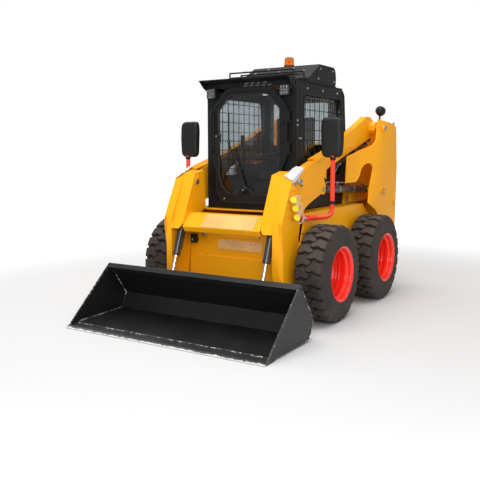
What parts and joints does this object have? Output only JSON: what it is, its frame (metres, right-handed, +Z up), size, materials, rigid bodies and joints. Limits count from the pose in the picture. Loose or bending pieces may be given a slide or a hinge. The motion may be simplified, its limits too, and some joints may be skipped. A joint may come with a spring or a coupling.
{
  "type": "skid steer loader",
  "caption": "Compact wheeled loader with an enclosed cab, twin lift arms pivoted on rear towers and a wide front bucket.",
  "frame": {"origin": "on the ground at the middle of the whole machine", "axes": "+X is the machine's left, -Y the bucket's end, +Z up"},
  "size_m": [1.775, 3.118, 2.188],
  "materials": {
    "yellow": "semi-gloss",
    "black_paint": "semi-gloss",
    "cab_black": "satin",
    "rim_red": "gloss",
    "tyre": "matt",
    "chrome": "polished",
    "glass": "clear",
    "amber": "gloss",
    "plastic": "matt",
    "mirror_tube_red": "gloss",
    "iron": "matt",
    "vinyl": "satin",
    "lamp_red": "gloss",
    "cap_yellow": "gloss"
  },
  "bodies": {
    "chassis": {"axle_stubs": "iron", "beacon_lens": "amber", "cab_floor": "cab_black", "cab_front_frame": "cab_black", "cab_rear_frame": "cab_black", "cab_roof": "cab_black", "cab_side_left": "cab_black", "cab_side_right": "cab_black", "cab_window_guards": "cab_black", "cab_windows": "glass", "chassis_tub": "yellow", "control_boxes": "plastic", "engine_block": "iron", "front_cover": "yellow", "lap_bar": "cab_black", "mirror_brackets": "mirror_tube_red", "mirrors": "plastic", "rear_hood": "yellow", "rear_lamps": "plastic", "roof_unit": "cab_black", "seat_back": "vinyl", "seat_base": "vinyl", "seat_cushion": "vinyl", "tail_lamps": "lamp_red", "tower_left": "yellow", "tower_right": "yellow", "work_lamps": "plastic"},
    "arms": {"arm_cross_member": "yellow", "aux_couplers": "cap_yellow", "lift_arm_left": "yellow", "lift_arm_right": "yellow"},
    "bucket": {"bucket_carrier": "black_paint", "bucket_shell": "black_paint", "cutting_edge": "black_paint"},
    "door": {"door_frame": "cab_black", "door_glass": "glass", "door_handle": "cab_black", "wiper": "plastic"},
    "tailgate": {"tailgate": "yellow"},
    "wheel_front_left": {"rim_front_left": "rim_red", "tyre_front_left": "tyre"},
    "wheel_front_right": {"rim_front_right": "rim_red", "tyre_front_right": "tyre"},
    "wheel_rear_left": {"rim_rear_left": "rim_red", "tyre_rear_left": "tyre"},
    "wheel_rear_right": {"rim_rear_right": "rim_red", "tyre_rear_right": "tyre"},
    "lift_barrel_left": {"lift_barrel_left": "black_paint"},
    "lift_rod_left": {"lift_rod_left": "chrome"},
    "lift_barrel_right": {"lift_barrel_right": "black_paint"},
    "lift_rod_right": {"lift_rod_right": "chrome"},
    "tilt_barrel_left": {"tilt_barrel_left": "black_paint"},
    "tilt_rod_left": {"tilt_rod_left": "chrome"},
    "tilt_barrel_right": {"tilt_barrel_right": "black_paint"},
    "tilt_rod_right": {"tilt_rod_right": "chrome"}
  },
  "joints": [
    {"name": "wheel_front_left_spin", "type": "hinge", "parent": "chassis", "child": "wheel_front_left", "pos_m": [0.732, -0.281, 0.3865], "axis": [1, 0, 0], "continuous": true},
    {"name": "wheel_front_right_spin", "type": "hinge", "parent": "chassis", "child": "wheel_front_right", "pos_m": [-0.732, -0.281, 0.3865], "axis": [1, 0, 0], "continuous": true},
    {"name": "wheel_rear_left_spin", "type": "hinge", "parent": "chassis", "child": "wheel_rear_left", "pos_m": [0.732, 0.719, 0.3865], "axis": [1, 0, 0], "continuous": true},
    {"name": "wheel_rear_right_spin", "type": "hinge", "parent": "chassis", "child": "wheel_rear_right", "pos_m": [-0.732, 0.719, 0.3865], "axis": [1, 0, 0], "continuous": true},
    {"name": "arms_lift", "type": "hinge", "parent": "chassis", "child": "arms", "pos_m": [0, 1.139, 1.58], "axis": [-1, 0, 0], "range_deg": [0, 70]},
    {"name": "bucket_tilt", "type": "hinge", "parent": "arms", "child": "bucket", "pos_m": [0, -0.641, 0.17], "axis": [1, 0, 0], "range_deg": [-25, 45]},
    {"name": "door_swing", "type": "hinge", "parent": "chassis", "child": "door", "pos_m": [0.384, -0.307, 1.51], "axis": [0, 0, -1], "range_deg": [-75, 0]},
    {"name": "tailgate_swing", "type": "hinge", "parent": "chassis", "child": "tailgate", "pos_m": [0.438, 1.546, 0.78], "axis": [0, 0, -1], "range_deg": [0, 95]},
    {"name": "lift_barrel_left_pivot", "type": "hinge", "parent": "chassis", "child": "lift_barrel_left", "pos_m": [0.505, 1.064, 0.988], "axis": [-1, 0, 0], "range_deg": [-0.11, 59.9]},
    {"name": "lift_rod_left_slide", "type": "slide", "parent": "lift_barrel_left", "child": "lift_rod_left", "axis": [0, -0.9989, 0.0463], "range_m": [-0.002, 0.6573]},
    {"name": "tilt_barrel_left_pivot", "type": "hinge", "parent": "arms", "child": "tilt_barrel_left", "pos_m": [0.431, -0.531, 1.1], "axis": [-1, 0, 0], "range_deg": [-0.54, 0.89]},
    {"name": "tilt_rod_left_slide", "type": "slide", "parent": "tilt_barrel_left", "child": "tilt_rod_left", "axis": [0, -0.3408, -0.9401], "range_m": [-0.0863, 0.1538]},
    {"name": "lift_barrel_right_pivot", "type": "hinge", "parent": "chassis", "child": "lift_barrel_right", "pos_m": [-0.505, 1.064, 0.988], "axis": [-1, 0, 0], "range_deg": [-0.11, 59.9]},
    {"name": "lift_rod_right_slide", "type": "slide", "parent": "lift_barrel_right", "child": "lift_rod_right", "axis": [0, -0.9989, 0.0463], "range_m": [-0.002, 0.6573]},
    {"name": "tilt_barrel_right_pivot", "type": "hinge", "parent": "arms", "child": "tilt_barrel_right", "pos_m": [-0.431, -0.531, 1.1], "axis": [-1, 0, 0], "range_deg": [-0.54, 0.89]},
    {"name": "tilt_rod_right_slide", "type": "slide", "parent": "tilt_barrel_right", "child": "tilt_rod_right", "axis": [0, -0.3408, -0.9401], "range_m": [-0.0863, 0.1538]}
  ],
  "couplings": [
    {"joint": "lift_barrel_left_pivot", "follows": "arms_lift", "ratio": 0.8541},
    {"joint": "lift_rod_left_slide", "follows": "arms_lift", "m_per_rad": 0.53638},
    {"joint": "tilt_barrel_left_pivot", "follows": "bucket_tilt", "ratio": 0.0171},
    {"joint": "tilt_rod_left_slide", "follows": "bucket_tilt", "m_per_rad": 0.19323},
    {"joint": "lift_barrel_right_pivot", "follows": "arms_lift", "ratio": 0.8541},
    {"joint": "lift_rod_right_slide", "follows": "arms_lift", "m_per_rad": 0.53638},
    {"joint": "tilt_barrel_right_pivot", "follows": "bucket_tilt", "ratio": 0.0171},
    {"joint": "tilt_rod_right_slide", "follows": "bucket_tilt", "m_per_rad": 0.19323}
  ]
}
